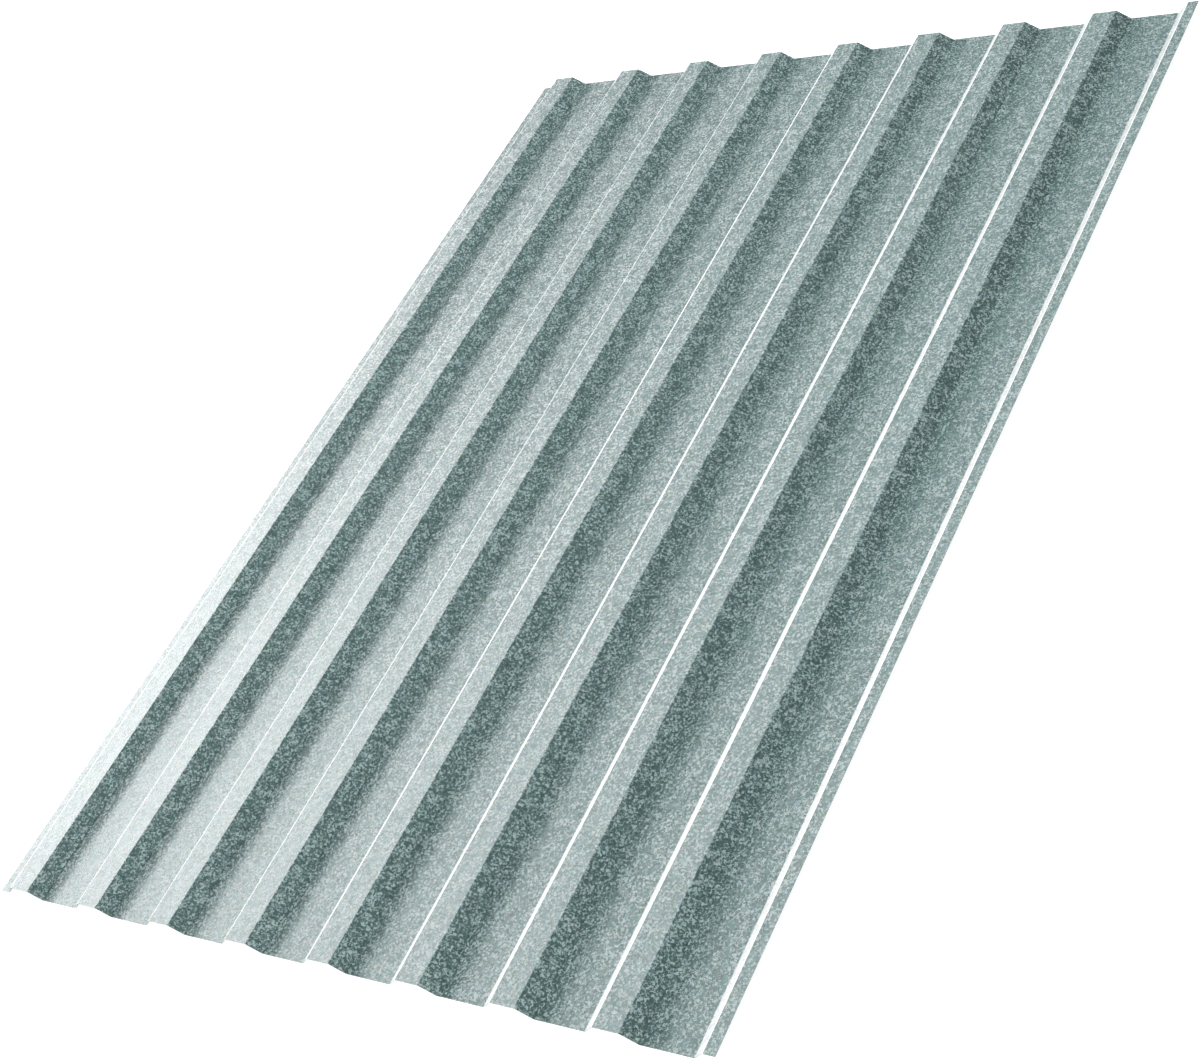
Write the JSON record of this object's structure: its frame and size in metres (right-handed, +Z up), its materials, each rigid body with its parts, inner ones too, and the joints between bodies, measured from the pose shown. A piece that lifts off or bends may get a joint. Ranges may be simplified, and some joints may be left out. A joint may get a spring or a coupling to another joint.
{
  "type": "corrugated metal sheet",
  "caption": "Trapezoidal roll-formed roofing and cladding sheet of galvanised steel, with narrow ribs, wide troughs and side laps.",
  "frame": {"origin": "centre of the sheet's outline, on the plane that the troughs rest on", "axes": "+Y along the ribs and the length, +X across the ribs from the under-lap edge to the over-lap edge, +Z up out of the face that the ribs stand on"},
  "size_m": [1.15, 1.6, 0.016],
  "materials": {
    "galvanised_steel": "hot-dip galvanised, satin, with a small zinc spangle"
  },
  "bodies": {
    "root": {"corrugated_sheet": "galvanised_steel"}
  },
  "joints": []
}
